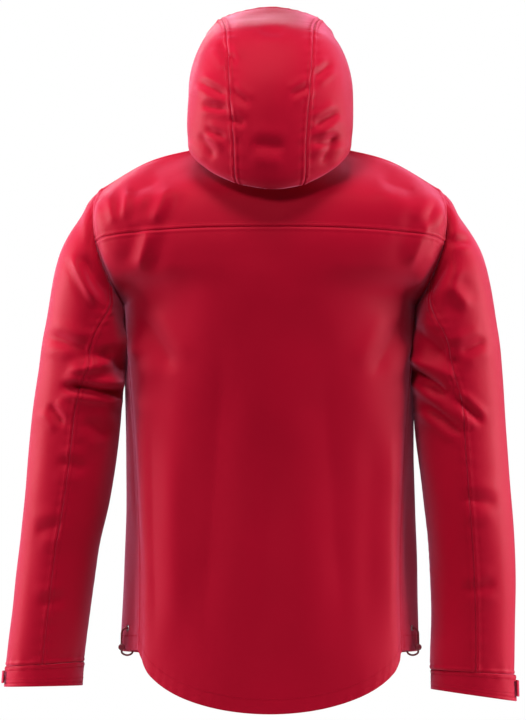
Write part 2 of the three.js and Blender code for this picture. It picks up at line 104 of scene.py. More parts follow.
def loft(rows, crease=0, loop=False, ends=(1,)):
    # u runs along a row and v from the first row to the last, each by the spline above. Near the given
    # ends of u the surface may bend sharply at one row, the crease, and it is smooth there further in.
    # A row is a list of points or a function of u.
    def surface(u, v):
        u, v = np.broadcast_arrays(np.asarray(u, float), np.asarray(v, float))
        shape = u.shape
        u, v = u.ravel(), v.ravel()
        rails = np.stack([row(u) if callable(row) else spline(row, u, loop) for row in rows])
        if crease:
            share = crease / (len(rows) - 1)
            low = spline(rails[:crease + 1], np.clip(v / share, 0, 1))
            high = spline(rails[crease:], np.clip((v - share) / (1 - share), 0, 1))
            place = np.where((v > share)[:, None], high, low)
            inside = ease(np.min([np.abs(u - end) for end in ends], axis=0), 0.01, 0.16)[:, None]
            place = place * (1 - inside) + spline(rails, v) * inside
        else:
            place = spline(rails, v)
        return place.reshape(shape + (3,))
    surface.loop = loop
    return surface


def joined(parts):
    # Curves end to end, each over its own share of u.
    def row(u):
        place = spline(parts[0][0], np.clip((u - parts[0][1]) / (parts[0][2] - parts[0][1]), 0, 1))
        for points, low, high in parts[1:]:
            more = spline(points, np.clip((u - low) / (high - low), 0, 1))
            place = np.where((u > low)[..., None], more, place)
        return place
    return row


def flip(points):
    return [(-x, y, z) for x, y, z in points]


def outward(surface, u, v):
    # Unit cross product of the surface's two slopes, by central differences.
    step = 0.002
    least, most = (-9, 9) if surface.loop else (0, 1)
    across = surface(np.minimum(u + step, most), v) - surface(np.maximum(u - step, least), v)
    along = surface(u, np.minimum(v + step, 1)) - surface(u, np.maximum(v - step, 0))
    normal = np.cross(across, along)
    return normal / np.maximum(np.linalg.norm(normal, axis=-1, keepdims=True), 1e-9)


# The garment's own lines, in garment millimetres.
body = {
    "zipEdge": 13, "frontBottom": 78, "frontNeck": 742, "frontChin": 826,
    "leanBottom": -128, "leanChin": -110,
    "yokeSeam": 0.75, "shoulderTip": (238, 6, 727), "armpit": (204, 0, 566),
}


def frontY(z):
    share = (z - body["frontBottom"]) / (body["frontChin"] - body["frontBottom"])
    return body["leanBottom"] + (body["leanChin"] - body["leanBottom"]) * share


tip, armpit = body["shoulderTip"], body["armpit"]
armholeBack = [armpit, (224, 42, 603), (243, 52, 655), (246, 36, 702), tip]
armholeFront = [armpit, (212, -48, 600), (226, -62, 648), (236, -42, 700), tip]
sideSeam = [(184, 48, 88), (183, 46, 220), (189, 32, 370), (198, 14, 490)]
centreBack = [(120, 0), (118, 190), (113, 362), (122, 500), (130, 585), (131, 632), (127, 676), (110, 728)]
shoulderSeam = [(88, 8, 788), (166, 8, 768), tip]
neckBack = [(88, 8, 788), (56, 54, 772), (0, 74, 766), (-56, 54, 772), (-88, 8, 788)]
neckFront = [(body["zipEdge"], frontY(body["frontNeck"]), body["frontNeck"]), (62, -72, 756), (88, 8, 788)]


def backRow(edge, middle):
    # A rounded arch in plan: x by the sine, and depth and height by the cosine, of one turning angle.
    angle = np.linspace(-1, 1, 9) * math.pi / 2
    arch = np.maximum(np.cos(angle), 0)
    return np.stack([-edge[0] * np.sin(angle), edge[1] + (middle[0] - edge[1]) * arch ** 0.9,
                     edge[2] + (middle[1] - edge[2]) * arch], axis=-1)


def frontRow(edge, z, widest, forward):
    return [(13, frontY(z), z), (widest * 0.42, frontY(z) + 5, z),
            (widest * 0.76, forward, z + (edge[2] - z) * 0.35),
            (widest, edge[1] + (forward - edge[1]) * 0.52, z + (edge[2] - z) * 0.8), edge]


backEdge = sideSeam + armholeBack
frontEdge = sideSeam + armholeFront
back = loft([backRow(edge, middle) for edge, middle in zip(backEdge, centreBack)] + [joined([
    (shoulderSeam[::-1], 0, 0.25), (neckBack, 0.25, 0.75), (flip(shoulderSeam), 0.75, 1)])],
            crease=4, ends=(0, 1))
frontStations = [(78, 206, -104), (214, 203, -103), (368, 196, -100), (488, 196, -106), (572, 202, -112),
                 (616, 205, -110), (656, 210, -104), (704, 214, -84)]
front = loft([frontRow(edge, *station) for edge, station in zip(frontEdge, frontStations)]
             + [joined([(neckFront, 0, 0.5), (shoulderSeam, 0.5, 1)])], crease=4)


def mirrorRow(row):
    return row + flip(row[:-1][::-1])


collarSurface = loft([
    mirrorRow([(14, -111.4, 746), (58, -71, 761), (83, 8, 792), (52, 50, 777), (0, 69, 771)]),
    mirrorRow([(14, -110, 826), (58, -64, 834), (81, 9, 842), (51, 48, 832), (0, 65, 826)]),
])
hoodSurface = loft([mirrorRow(row) for row in (
    [(60, 57, 776), (46, 66, 772), (32, 73, 770), (16, 78, 769), (0, 80, 768)],
    [(84, 34, 789), (104, 72, 776), (84, 112, 753), (46, 134, 735), (0, 142, 728)],
    [(90, 10, 793), (114, 68, 804), (97, 120, 802), (51, 148, 800), (0, 154, 800)],
    [(92, -14, 790), (114, 40, 852), (101, 102, 868), (57, 134, 882), (0, 144, 886)],
    [(86, -40, 782), (112, 8, 868), (99, 60, 916), (60, 84, 943), (0, 92, 948)],
    [(74, -64, 772), (106, -30, 866), (99, -8, 926), (64, 0, 961), (0, 4, 968)],
    [(56, -86, 764), (98, -72, 852), (96, -72, 920), (69, -74, 966), (0, -76, 982)],
    [(38, -102, 758), (86, -102, 838), (89, -116, 910), (65, -128, 962), (0, -136, 984)])])
hood = {"sideSeam": 0.375, "brim": 6 / 7}


def sleeveRing(outer, inner, y, depth):
    angle = np.arange(8) / 8 * turn
    share = (1 + np.cos(angle)) / 2
    return np.stack([inner[0] + (outer[0] - inner[0]) * share, y + depth * np.sin(angle),
                     inner[1] + (outer[1] - inner[1]) * share], axis=-1)


def armholeRing(u):
    # Half a turn down the back panel's armhole edge, and half a turn up the front panel's.
    u = np.mod(u, 1)
    behind = spline(armholeBack, 1 - np.clip(2 * u, 0, 1))
    ahead = spline(armholeFront, np.clip(2 * u - 1, 0, 1))
    return np.where((u <= 0.5)[..., None], behind, ahead)


sleeveRings = {
    "left": [
        ((371, 36), (261, 38), -38, 48), ((369, 64), (259, 70), -36, 48),
        ((360, 138), (253, 130), -28, 50), ((351, 225), (241, 215), -20, 54),
        ((341, 308), (223, 300), -12, 58), ((331, 390), (213, 382), -8, 60),
        ((321, 470), (211, 455), -4, 62), ((313, 535), (210, 512), -2, 64),
        ((291, 640), (215, 544), 0, 66),
    ],
    "right": [
        ((344, 16), (224, 33), -30, 48), ((343, 52), (224, 60), -28, 48),
        ((341, 130), (226, 128), -22, 50), ((339, 220), (221, 215), -16, 54),
        ((335, 300), (213, 298), -11, 58), ((330, 385), (206, 380), -8, 60),
        ((324, 470), (206, 458), -4, 62), ((317, 535), (207, 512), -2, 64),
        ((295, 640), (214, 544), 0, 66),
    ],
}
sleeve = {"cuffTop": 1 / 9, "underSeam": 0.54}


def backSeam(v):
    return 0.24 + 0.05 * ease(v, 0.58, 0.74) + 0.08 * ease(v, 0.74, 0.95)


def principled(name, **values):
    material = bpy.data.materials.new(name)
    material.use_nodes = True
    shader = material.node_tree.nodes["Principled BSDF"]
    for socket, value in values.items():
        shader.inputs[socket.replace("_", " ")].default_value = value
    return material, material.node_tree, shader


def math2(tree, operation, first, second=None):
    node = tree.nodes.new("ShaderNodeMath")
    node.operation = operation
    for socket, value in zip(node.inputs, (first, second)):
        if isinstance(value, bpy.types.NodeSocket):
            tree.links.new(value, socket)
        elif value is not None:
            socket.default_value = value
    return node.outputs[0]


def group(name, inputs, outputs):
    tree = bpy.data.node_groups.new(name, "ShaderNodeTree")
    for label, kind, value in inputs:
        socket = tree.interface.new_socket(label, in_out="INPUT", socket_type=kind)
        if value is not None:
            socket.default_value = value
    for label, kind in outputs:
        tree.interface.new_socket(label, in_out="OUTPUT", socket_type=kind)
    return tree, tree.nodes.new("NodeGroupInput"), tree.nodes.new("NodeGroupOutput")


def noise(tree, vector, scale, detail=3.0):
    node = tree.nodes.new("ShaderNodeTexNoise")
    node.inputs["Scale"].default_value = scale
    node.inputs["Detail"].default_value = detail
    tree.links.new(vector, node.inputs["Vector"])
    return node.outputs["Fac"]


def mixColour(tree, factor, first, second):
    node = tree.nodes.new("ShaderNodeMix")
    node.data_type = "RGBA"
    for index, value in ((0, factor), (6, first), (7, second)):
        if isinstance(value, bpy.types.NodeSocket):
            tree.links.new(value, node.inputs[index])
        else:
            node.inputs[index].default_value = value
    return node.outputs[2]


def bump(tree, height, strength, distance):
    node = tree.nodes.new("ShaderNodeBump")
    node.inputs["Strength"].default_value = strength
    node.inputs["Distance"].default_value = distance
    tree.links.new(height, node.inputs["Height"])
    return node.outputs["Normal"]


def buildWeave():
    # Plain weave: the sine of one thread count times the sine of the other, over the cloth's own metres.
    # The colour carries painted shade, a little darker between threads, and drifts slowly over the cloth.
    tree, given, made = group("wovenCloth", [
        ("Place", "NodeSocketVector", None), ("Object place", "NodeSocketVector", None),
        ("Colour", "NodeSocketColor", (0.4, 0.004, 0.02, 1)),
        ("Dark", "NodeSocketColor", (0.2, 0.002, 0.01, 1)),
        ("Threads", "NodeSocketFloat", 7000.0), ("Roughness", "NodeSocketFloat", 0.5)],
        [("Colour", "NodeSocketColor"), ("Roughness", "NodeSocketFloat"), ("Height", "NodeSocketFloat")])
    split = tree.nodes.new("ShaderNodeSeparateXYZ")
    tree.links.new(given.outputs["Place"], split.inputs[0])
    warp = math2(tree, "SINE", math2(tree, "MULTIPLY", split.outputs[0], given.outputs["Threads"]))
    weft = math2(tree, "SINE", math2(tree, "MULTIPLY", split.outputs[1], given.outputs["Threads"]))
    weave = math2(tree, "MULTIPLY", warp, weft)
    slub = noise(tree, given.outputs["Place"], 900.0, 2.0)
    drift = noise(tree, given.outputs["Object place"], 9.0, 4.0)
    height = math2(tree, "ADD", weave, math2(tree, "MULTIPLY", slub, 0.8))
    # Painted shade between the threads, following the weave pattern that also drives the height.
    threadPaintedShade = math2(tree, "MULTIPLY_ADD", weave, 0.08)
    threadPaintedShade.node.inputs[2].default_value = 0.1
    slowShade = math2(tree, "MULTIPLY", math2(tree, "SUBTRACT", drift, 0.35), 0.55)
    shade = math2(tree, "ADD", threadPaintedShade, slowShade)
    shade.node.use_clamp = True
    mixed = mixColour(tree, shade, given.outputs["Colour"], given.outputs["Dark"])
    tree.links.new(mixed, made.inputs["Colour"])
    rough = math2(tree, "ADD", given.outputs["Roughness"],
                  math2(tree, "MULTIPLY", math2(tree, "SUBTRACT", drift, 0.5), 0.14))
    tree.links.new(rough, made.inputs["Roughness"])
    tree.links.new(height, made.inputs["Height"])
    return tree


def buildWear():
    # Fine grain for moulded and painted pieces: a slow and a fast noise, as a shade and as a height.
    tree, given, made = group("fineGrain", [
        ("Place", "NodeSocketVector", None), ("Colour", "NodeSocketColor", (0.1, 0.1, 0.1, 1)),
        ("Pale", "NodeSocketColor", (0.2, 0.2, 0.2, 1)), ("Roughness", "NodeSocketFloat", 0.4)],
        [("Colour", "NodeSocketColor"), ("Roughness", "NodeSocketFloat"), ("Height", "NodeSocketFloat")])
    slow = noise(tree, given.outputs["Place"], 160.0, 4.0)
    fast = noise(tree, given.outputs["Place"], 2600.0, 3.0)
    shade = math2(tree, "MULTIPLY", math2(tree, "SUBTRACT", slow, 0.4), 1.1)
    shade.node.use_clamp = True
    mixed = mixColour(tree, shade, given.outputs["Colour"], given.outputs["Pale"])
    tree.links.new(mixed, made.inputs["Colour"])
    tree.links.new(math2(tree, "ADD", given.outputs["Roughness"],
                         math2(tree, "MULTIPLY", math2(tree, "SUBTRACT", slow, 0.5), 0.25)),
                   made.inputs["Roughness"])
    tree.links.new(fast, made.inputs["Height"])
    return tree


weaveGroup, grainGroup = buildWeave(), buildWear()


def cloth(name, colour, dark, threads=7000.0, roughness=0.5, depth=0.00012, strength=0.35, onUv=True,
          **values):
    material, tree, shader = principled(name, **values)
    coordinates = tree.nodes.new("ShaderNodeTexCoord")
    weave = tree.nodes.new("ShaderNodeGroup")
    weave.node_tree = weaveGroup
    tree.links.new(coordinates.outputs["UV" if onUv else "Object"], weave.inputs["Place"])
    tree.links.new(coordinates.outputs["Object"], weave.inputs["Object place"])
    weave.inputs["Colour"].default_value = (*colour, 1)
    weave.inputs["Dark"].default_value = (*dark, 1)
    weave.inputs["Threads"].default_value = threads
    weave.inputs["Roughness"].default_value = roughness
    tree.links.new(weave.outputs["Colour"], shader.inputs["Base Color"])
    tree.links.new(weave.outputs["Roughness"], shader.inputs["Roughness"])
    tree.links.new(bump(tree, weave.outputs["Height"], strength, depth), shader.inputs["Normal"])
    return material


def hardware(name, colour, pale, roughness=0.4, depth=0.00004, **values):
    material, tree, shader = principled(name, **values)
    coordinates = tree.nodes.new("ShaderNodeTexCoord")
    grain = tree.nodes.new("ShaderNodeGroup")
    grain.node_tree = grainGroup
    tree.links.new(coordinates.outputs["Object"], grain.inputs["Place"])
    grain.inputs["Colour"].default_value = (*colour, 1)
    grain.inputs["Pale"].default_value = (*pale, 1)
    grain.inputs["Roughness"].default_value = roughness
    tree.links.new(grain.outputs["Colour"], shader.inputs["Base Color"])
    tree.links.new(grain.outputs["Roughness"], shader.inputs["Roughness"])
    tree.links.new(bump(tree, grain.outputs["Height"], 0.3, depth), shader.inputs["Normal"])
    return material


finish = {
    "shell": {"colour": (0.47, 0.0012, 0.021), "dark": (0.36, 0.0006, 0.014),
              "sheenTint": (1.0, 0.34, 0.56, 1)},
    "lining": {"colour": (0.25, 0.26, 0.28), "dark": (0.17, 0.175, 0.19)},
    "tape": {"colour": (0.035, 0.034, 0.037), "dark": (0.018, 0.017, 0.019)},
    "thread": {"colour": (0.5, 0.003, 0.028), "dark": (0.36, 0.002, 0.016)},
    "cord": {"colour": (0.22, 0.006, 0.02), "dark": (0.1, 0.003, 0.01)},
    "pile": {"colour": (0.11, 0.004, 0.014), "dark": (0.05, 0.002, 0.006)},
    "lacquer": {"colour": (0.028, 0.028, 0.031), "pale": (0.075, 0.075, 0.08)},
    "steel": {"colour": (0.5, 0.51, 0.53), "pale": (0.62, 0.62, 0.64)},
    "coil": {"colour": (0.05, 0.004, 0.011), "pale": (0.1, 0.008, 0.02)},
    "lock": {"colour": (0.15, 0.005, 0.017), "pale": (0.24, 0.01, 0.03)},
}
shellCloth = cloth("shellCloth", finish["shell"]["colour"], finish["shell"]["dark"], roughness=0.5,
                   Sheen_Weight=0.7, Sheen_Roughness=0.4, Sheen_Tint=finish["shell"]["sheenTint"],
                   Specular_IOR_Level=0.06)
liningCloth = cloth("liningCloth", finish["lining"]["colour"], finish["lining"]["dark"], threads=4500.0,
                    roughness=0.72, depth=0.0002)
tapeCloth = cloth("tapeCloth", finish["tape"]["colour"], finish["tape"]["dark"], threads=5200.0,
                  roughness=0.68, depth=0.0002, onUv=False)
threadCloth = cloth("stitchThread", finish["thread"]["colour"], finish["thread"]["dark"], threads=16000.0,
                    roughness=0.6, onUv=False, Specular_IOR_Level=0.08)
cordCloth = cloth("cordBraid", finish["cord"]["colour"], finish["cord"]["dark"], threads=6000.0,
                  roughness=0.6, depth=0.0003, strength=0.6, onUv=False)
pileCloth = cloth("hookPile", finish["pile"]["colour"], finish["pile"]["dark"], threads=3300.0,
                  roughness=0.85, depth=0.0006, strength=0.8, onUv=False, Sheen_Weight=0.4)
lacquer = hardware("darkLacquer", **finish["lacquer"], roughness=0.32, Metallic=0.6)
steel = hardware("plainSteel", **finish["steel"], roughness=0.28, Metallic=1.0)
coilPlastic = hardware("coilPlastic", **finish["coil"], roughness=0.42)
lockPlastic = hardware("lockPlastic", **finish["lock"], roughness=0.45)
print("materials made")


def addMesh(name, points, faces, materials, uv=None, ride=shellBody):
    mesh = bpy.data.meshes.new(name)
    mesh.from_pydata(np.asarray(points).tolist(), [], np.asarray(faces).tolist())
    if uv is not None:
        layer = mesh.uv_layers.new(name="cloth")
        layer.data.foreach_set("uv", np.asarray(uv, np.float32).ravel())
    mesh.polygons.foreach_set("use_smooth", np.ones(len(mesh.polygons), bool))
    for material in materials:
        mesh.materials.append(material)
    mesh.update()
    piece = bpy.data.objects.new(name, mesh)
    bpy.context.collection.objects.link(piece)
    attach(piece, ride)
    return piece


def gridPiece(name, place, metres, materials, mirror=False, wrap=False, ride=shellBody, holes=None):
    # Quads between neighbouring rows and columns. A wrapped grid's last column is its first.
    rows, columns = place.shape[:2]
    across = columns - 1 if wrap else columns
    row, column = np.meshgrid(np.arange(rows - 1), np.arange(columns - 1), indexing="ij")
    if holes is not None:
        row, column = row[~holes], column[~holes]
    row, column = row.ravel(), column.ravel()
    corners = [(row, column), (row, column + 1), (row + 1, column + 1), (row + 1, column)]
    if mirror:
        corners = corners[::-1]
    faces = np.stack([r * across + np.mod(c, across) for r, c in corners], axis=-1)
    uv = np.stack([metres[r, c] for r, c in corners], axis=1)
    points = place[:, :across].reshape(-1, 3)
    used = np.unique(faces)
    faces = np.searchsorted(used, faces)
    return addMesh(name, toFrame(points[used]), faces, materials, uv, ride)


def thicken(piece, thickness, inside=0, offset=-1):
    wall = piece.modifiers.new("wall", "SOLIDIFY")
    wall.thickness = thickness
    wall.offset = offset
    wall.use_rim = True
    wall.material_offset = inside
    return piece


def gridLines(length, spacing, extra=()):
    # Places from 0 to 1: close together within 9 mm of both ends, and one spacing apart between.
    near = np.array([0, 0.7, 1.4, 2.4, 3.6, 5.0, 5.8, 6.4, 7.2, 9.0])
    middle = np.linspace(9, length - 9, max(3, round((length - 18) / spacing)))[1:-1]
    return np.unique(np.concatenate([near, middle, length - near, np.asarray(extra, float)]) / length)


def lengthsAlong(place, axis):
    # Distance from the first line of the grid, along each line, in mm.
    step = np.linalg.norm(np.diff(place, axis=axis), axis=-1)
    zero = np.zeros_like(np.take(step, [0], axis=axis))
    return np.concatenate([zero, np.cumsum(step, axis=axis)], axis=axis)


# Relief of sewn cloth, in mm; fold scales every drawn fold, and crumple is a size and a height.
relief = {"seamDip": 0.75, "ridge": 0.5, "stitchDip": 0.35, "pucker": 0.6, "puckerStep": 17.0,
          "fold": 1.35, "crumple": (42, 0.22)}


def seamRelief(distance, dip):
    # The seam line sinks, the turned allowance behind it stands proud, and the topstitching pulls a groove.
    return (-dip * bell(distance, 1.1) + relief["ridge"] * bell(distance - 3.6, 1.9)
            - relief["stitchDip"] * bell(distance - 6.4, 0.8)) * (1 if dip else 1 - bell(distance, 1.6))


def puckers(distance, along, amount):
    # Short waves across a seam, fading in a centimetre, their spacing drifting along it.
    wave = np.sin(turn * along / relief["puckerStep"] + 1.7 * np.sin(turn * along / 83) + amount * 5)
    return amount * relief["pucker"] * wave * bell(distance, 11) * (1 - bell(distance, 2))


def foldRelief(place, normal, folds):
    # Each fold is a valley between two soft ridges along a line in the garment's back view. It fades at
    # the line's ends, and away from cloth that faces that side.
    total = np.zeros(place.shape[:2])
    flat = place[..., [0, 2]]
    for (x0, z0), (x1, z1), width, depth, side in folds:
        start, line = np.array([x0, z0]), np.array([x1 - x0, z1 - z0])
        t = np.clip(((flat - start) @ line) / (line @ line), 0, 1)
        apart = np.linalg.norm(flat - start - t[..., None] * line, axis=-1)
        fade = ease(t, -0.001, 0.3) * ease(1 - t, -0.001, 0.3) * ease(normal[..., 1] * side, -0.1, 0.45)
        # The valley's floor is narrower than its ridges.
        profile = -np.exp(-(apart / width) ** 1.4) + 0.5 * bell(apart - 2.1 * width, 1.2 * width)
        total += relief["fold"] * depth * fade * profile
    return total


generator = np.random.default_rng(20)
waveTable = [(generator.normal(size=3), generator.uniform(0, turn)) for _ in range(9)]


def drift(place, size, amount):
    # Slow unevenness of hung cloth: nine sine waves in seeded directions, each about one size long.
    total = np.zeros(place.shape[:2])
    for direction, phase in waveTable:
        direction = direction / np.linalg.norm(direction) * (1, 1, 0.55)
        total += np.sin(turn * (place @ direction) / size + phase)
    return amount * total / 3


# (x, z) to (x, z) in mm, width, depth (a ridge if negative), and the side: 1 for the back, -1 for the front.
clothFolds = [
    # left sleeve, behind: the elbow break, the hollow above it, and the pulls that run into it
    ((296, 455), (196, 443), 5.5, 8.5, 1), ((288, 472), (214, 492), 8, -4.5, 1),
    ((240, 508), (203, 470), 13, 8.0, 1), ((316, 527), (246, 503), 8, 3.4, 1),
    ((310, 430), (286, 398), 6, 3.6, 1), ((277, 640), (241, 562), 5, -4.0, 1),
    ((262, 640), (222, 575), 9, 4.0, 1), ((300, 350), (250, 338), 8, 2.2, 1),
    ((330, 250), (286, 262), 9, 2.0, 1), ((326, 150), (282, 162), 8, 1.8, 1),
    ((258, 410), (222, 380), 9, 3.0, 1),
    # right sleeve, behind
    ((-200, 482), (-250, 438), 6, 7.5, 1), ((-210, 436), (-272, 384), 6, 5.5, 1),
    ((-200, 502), (-262, 463), 7, -4.5, 1), ((-206, 540), (-246, 490), 12, 6.0, 1),
    ((-250, 446), (-300, 400), 5, 4.0, 1), ((-243, 656), (-282, 655), 5, 3.0, 1),
    ((-252, 636), (-214, 574), 9, 4.0, 1), ((-306, 520), (-262, 500), 8, 2.6, 1),
    ((-322, 290), (-262, 300), 9, 2.2, 1), ((-318, 180), (-262, 168), 8, 1.8, 1),
    ((-280, 560), (-246, 600), 8, -2.6, 1),
    # shoulder blades and yoke
    ((139, 734), (164, 676), 8, -3.6, 1), ((164, 680), (184, 610), 9, -3.6, 1),
    ((196, 736), (205, 680), 6, -2.6, 1), ((150, 742), (206, 722), 8, 2.4, 1),
    ((226, 728), (216, 676), 6, -2.0, 1), ((-150, 742), (-206, 724), 9, 2.2, 1),
    ((-226, 700), (-190, 610), 10, -2.8, 1), ((-236, 720), (-214, 672), 7, 2.0, 1),
    # back, long and soft
    ((186, 560), (130, 470), 12, 3.0, 1), ((-188, 556), (-140, 462), 12, 3.0, 1),
    ((96, 60), (62, 560), 24, 2.4, 1), ((-104, 60), (-70, 540), 26, 2.2, 1),
    ((160, 80), (168, 430), 14, 2.6, 1), ((-166, 80), (-168, 430), 14, -3.0, 1),
    ((20, 30), (-10, 420), 30, 1.6, 1),
    # hood
    ((104, 880), (58, 856), 4.5, 3.6, 1), ((98, 846), (56, 838), 4.5, 3.0, 1),
    ((92, 812), (60, 798), 4.5, 3.0, 1), ((58, 868), (26, 842), 5, 3.0, 1),
    ((60, 826), (32, 816), 6, 2.6, 1), ((-60, 872), (-26, 856), 5, 2.6, 1),
    ((-100, 838), (-60, 814), 5.5, 3.4, 1), ((-102, 800), (-56, 790), 6, 3.2, 1),
    ((-88, 904), (-58, 880), 5, 3.0, 1), ((72, 934), (46, 898), 6, 3.0, 1),
    ((30, 790), (-26, 784), 9, 2.4, 1), ((-70, 760), (-96, 806), 7, 3.0, 1),
    ((76, 768), (100, 806), 7, 3.0, 1), ((20, 950), (-24, 946), 7, 1.8, 1),
    # fronts of the sleeves and the chest
    ((310, 455), (215, 440), 7, 6.0, -1), ((-310, 460), (-215, 445), 7, 6.0, -1),
    ((300, 405), (225, 425), 7, 4, -1), ((-300, 400), (-225, 415), 7, 4, -1),
    ((290, 500), (220, 520), 8, 3.5, -1), ((-290, 505), (-220, 520), 8, 3.5, -1),
    ((190, 560), (110, 470), 14, 4, -1), ((-190, 560), (-110, 480), 14, 4, -1),
    ((200, 660), (130, 640), 10, 3, -1), ((-200, 665), (-130, 640), 10, 3, -1),
    ((160, 380), (60, 330), 20, 2.6, -1), ((-160, 390), (-60, 320), 20, 2.6, -1),
    ((110, 560), (90, 330), 22, 2.4, -1), ((-110, 560), (-96, 330), 22, 2.4, -1),
]

seamTypes = ("left", "right", "bottom", "top")
stitchSets = {"body": [], "sleeve_left": [], "sleeve_right": [], "hood": []}


def stitchLine(place, normal, distance, offset, sideways):
    # The line one offset in from an edge of the finished grid, and its normals, by linear steps.
    if sideways:
        place, normal, distance = (np.swapaxes(a, 0, 1) for a in (place, normal, distance))
    if distance[0].mean() > distance[-1].mean():
        place, normal, distance = place[::-1], normal[::-1], distance[::-1]
    upper = np.clip((distance < offset).sum(axis=0), 1, len(distance) - 1)
    column = np.arange(distance.shape[1])
    low, high = distance[upper - 1, column], distance[upper, column]
    t = np.clip((offset - low) / np.maximum(high - low, 1e-6), 0, 1)[:, None]
    line = place[upper - 1, column] * (1 - t) + place[upper, column] * t
    return line, normal[upper, column]


def turnEdge(place, normal, metres, depth, gap):
    # The cloth goes round the edge in a half circle, one gap across, and back up inside as a facing.
    far = lengthsAlong(place, 0)
    column = np.arange(place.shape[1])
    rows, mapped = [], []
    for back in (depth, depth * 0.75, depth * 0.5, depth * 0.25, 3.0):
        upper = np.clip((far < back).sum(axis=0), 1, len(far) - 1)
        t = ((back - far[upper - 1, column]) / (far[upper, column] - far[upper - 1, column]))[:, None]
        t = np.clip(t, 0, 1)
        edge = place[upper - 1, column] * (1 - t) + place[upper, column] * t
        rows.append(edge - gap * normal[upper, column])
        mapped.append(metres[0] - [0, (back + gap * 1.6) / 1000])
    down = place[0] - place[2]
    down /= np.maximum(np.linalg.norm(down, axis=-1, keepdims=True), 1e-9)
    for angle in np.linspace(math.pi, 0, 6)[:-1]:
        behind = normal[0] * gap / 2 * (math.cos(angle) - 1)
        rows.append(place[0] + behind + down * gap / 2 * math.sin(angle))
        mapped.append(metres[0] - [0, angle * gap / 2000])
    return np.concatenate([np.stack(rows), place]), np.concatenate([np.stack(mapped), metres])


clothWall = 0.0009  # metres
zipLip = np.array([[5.8, -0.75], [6.3, -1.15], [8.0, -1.2], [10.5, -1.1], [12.2, -0.6]])
hemClear = 9.0  # the turned hem's distance from the zip's middle line


def besideSlider(x):
    # The turned hem's front end is drawn back from the zip, so that the slider passes it.
    first, last = zipLip[0, 0], zipLip[-1, 0]
    return np.where(x < last, hemClear + (x - first) * (last - hemClear) / (last - first), x)


def flatArea(points):
    # Square metres of a grid of points in mm, from the crossed diagonals of its cells.
    crossed = np.cross(points[1:, 1:] - points[:-1, :-1], points[1:, :-1] - points[:-1, 1:])
    return float(np.linalg.norm(crossed, axis=-1).sum() / 2e6)


def panel(name, surface, u, v, replaced, edges, spacing=4.5, sign=1, stitchSet="body", turned=None,
          wrap=False, folds=clothFolds, swell=(150, 1.6), edgeFade=22, extraColumns=None, hole=None,
          shape=None):
    # A cut of cloth on a surface: the grid of the surface, moved along its normals by folds, slow
    # unevenness and the relief of each edge, then turned in at an edge if it is hemmed.
    # An edge is (kind, pucker, stitch offsets); kind is sewn, joined (on the same surface), pinned or open.
    starts = [limit if callable(limit) else (lambda at, limit=limit: limit + 0 * at) for limit in u]
    vTry = np.linspace(v[0], v[1], 60)
    uTry = np.linspace(0, 1, 60)
    wide, tall = (np.array([starts[0](vTry) * (1 - t) + starts[1](vTry) * t for t in uTry]), vTry)
    probe = surface(wide.T, tall[:, None] + 0 * wide.T)
    width = lengthsAlong(probe, 1)[:, -1].max()
    height = lengthsAlong(probe, 0)[-1].max()
    across = gridLines(width, spacing, () if hole is None else hole["across"](width))
    along = gridLines(height, spacing, () if hole is None else hole["along"](height))
    vGrid = (v[0] + (v[1] - v[0]) * along)[:, None] + 0 * across[None]
    uGrid = starts[0](vGrid) * (1 - across) + starts[1](vGrid) * across
    place = surface(uGrid, vGrid)
    normal = outward(surface, uGrid, vGrid)
    if sign < 0:
        place, normal = place * (-1, 1, 1), normal * (-1, 1, 1)
    fromLeft, fromBottom = lengthsAlong(place, 1), lengthsAlong(place, 0)
    distance = {"left": fromLeft, "right": fromLeft[:, -1:] - fromLeft, "bottom": fromBottom,
                "top": fromBottom[-1:] - fromBottom}
    loose = np.ones(place.shape[:2])
    for side in seamTypes:
        if edges[side][0] in ("sewn", "pinned"):
            loose *= ease(distance[side], 0, edgeFade)
    uneven = drift(place, *swell) + drift(place, *relief["crumple"])
    lift = loose * (foldRelief(place, normal, folds) + uneven)
    if shape is not None:
        lift += shape(place, normal, distance)
    for side in seamTypes:
        kind, amount, offsets = edges[side]
        run = fromBottom if side in ("left", "right") else fromLeft
        if kind in ("sewn", "joined"):
            lift += seamRelief(distance[side], relief["seamDip"] if kind == "joined" else 0)
            lift += puckers(distance[side], run, amount)
        else:
            for offset in offsets:
                lift -= relief["stitchDip"] * bell(distance[side] - offset, 1.0)
            lift += puckers(distance[side] - 10, run, amount) if amount else 0
    place = place + normal * lift[..., None]
    for side in seamTypes:
        for offset in edges[side][2]:
            stitchSets[stitchSet].append(
                stitchLine(place, normal, distance[side], offset, side in ("left", "right")))
    metres = np.stack([fromLeft, fromBottom], axis=-1) / 1000
    if extraColumns is not None:
        place, normal, metres = extraColumns(place, normal, metres, sign)
    holes = None
    if hole is not None:
        extra = place.shape[1] - len(across)
        holes = hole["mask"](across, along, width, height, extra)
    if turned is not None:
        side, depth, gap = turned
        if side == "top":
            place, normal, metres = place[::-1], normal[::-1], metres[::-1]
        before = len(place)
        place, metres = turnEdge(place, normal, metres, depth, gap)
        if extraColumns is not None:
            facing = place[:len(place) - before]
            facing[..., 0] = sign * besideSlider(sign * facing[..., 0])
        if holes is not None:
            holes = np.concatenate([np.zeros((len(place) - before, holes.shape[1]), bool), holes])
        if side == "top":
            place, metres = place[::-1], metres[::-1]
    piece = gridPiece(name, place, metres, [shellCloth, liningCloth], sign < 0, wrap,
                      holes=holes)
    thicken(piece, clothWall, 1)
    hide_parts(*replaced)
    allowance = turned[1] if turned is not None else 0  # the cut is longer by what is turned in
    area = flatArea(probe) + float(width) * allowance / 1e6


